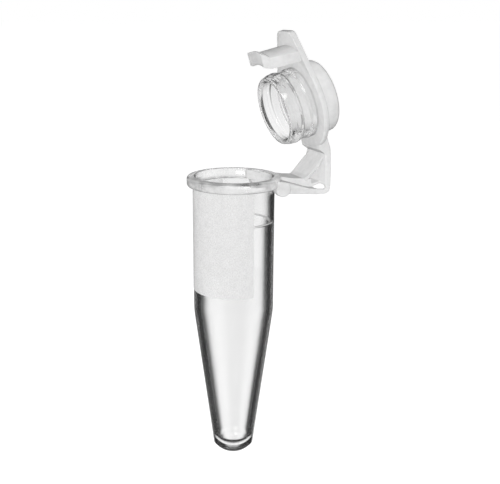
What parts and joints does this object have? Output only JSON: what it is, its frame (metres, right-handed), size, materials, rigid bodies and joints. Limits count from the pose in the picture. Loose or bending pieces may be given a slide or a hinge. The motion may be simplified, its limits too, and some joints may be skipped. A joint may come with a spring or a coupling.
{
  "type": "microcentrifuge tube",
  "caption": "Clear conical microcentrifuge tube with a collar, a frosted writing panel and a hinged, latching lid with a hollow sealing plug, shown open.",
  "frame": {"origin": "centre of the mouth, in the plane of the collar's top", "axes": "+Z out of the mouth along the tube's axis, +X from the tube's axis towards the lid's hinge, +Y along the hinge's folding axis"},
  "size_m": [0.0201, 0.0126, 0.0583],
  "materials": {
    "clear_polypropylene": "clear, smooth, moulded polypropylene",
    "milky_polypropylene": "translucent, slightly milky, moulded polypropylene",
    "frosted_polypropylene": "fine frosted texture that takes pencil and marker"
  },
  "bodies": {
    "tube": {"tube_body": "clear_polypropylene", "collar": "milky_polypropylene", "frosted_panel": "frosted_polypropylene", "base_strap": "milky_polypropylene", "root_lugs": "milky_polypropylene", "hinge_folds": "milky_polypropylene", "hinge_web": "milky_polypropylene"},
    "lid": {"lid_strap": "milky_polypropylene", "lid_plate": "milky_polypropylene", "lid_crown": "milky_polypropylene", "sealing_plug": "clear_polypropylene", "seal_bead": "clear_polypropylene", "lift_lip": "milky_polypropylene"},
    "latch": {"latch_apron": "milky_polypropylene", "latch_catch": "milky_polypropylene", "latch_end_bead": "milky_polypropylene"}
  },
  "joints": [
    {"name": "lid_hinge", "type": "hinge", "parent": "tube", "child": "lid", "pos_m": [0.01083, 0, -0.00172], "axis": [0, 1, 0], "range_deg": [-73.8, 105], "deforming": ["hinge_folds", "hinge_web"]},
    {"name": "latch_flex", "type": "hinge", "parent": "lid", "child": "latch", "pos_m": [0.00732, 0, 0.01661], "axis": [0, 1, 0], "range_deg": [0, 12], "stiffness_Nm_per_rad": 0.005}
  ]
}
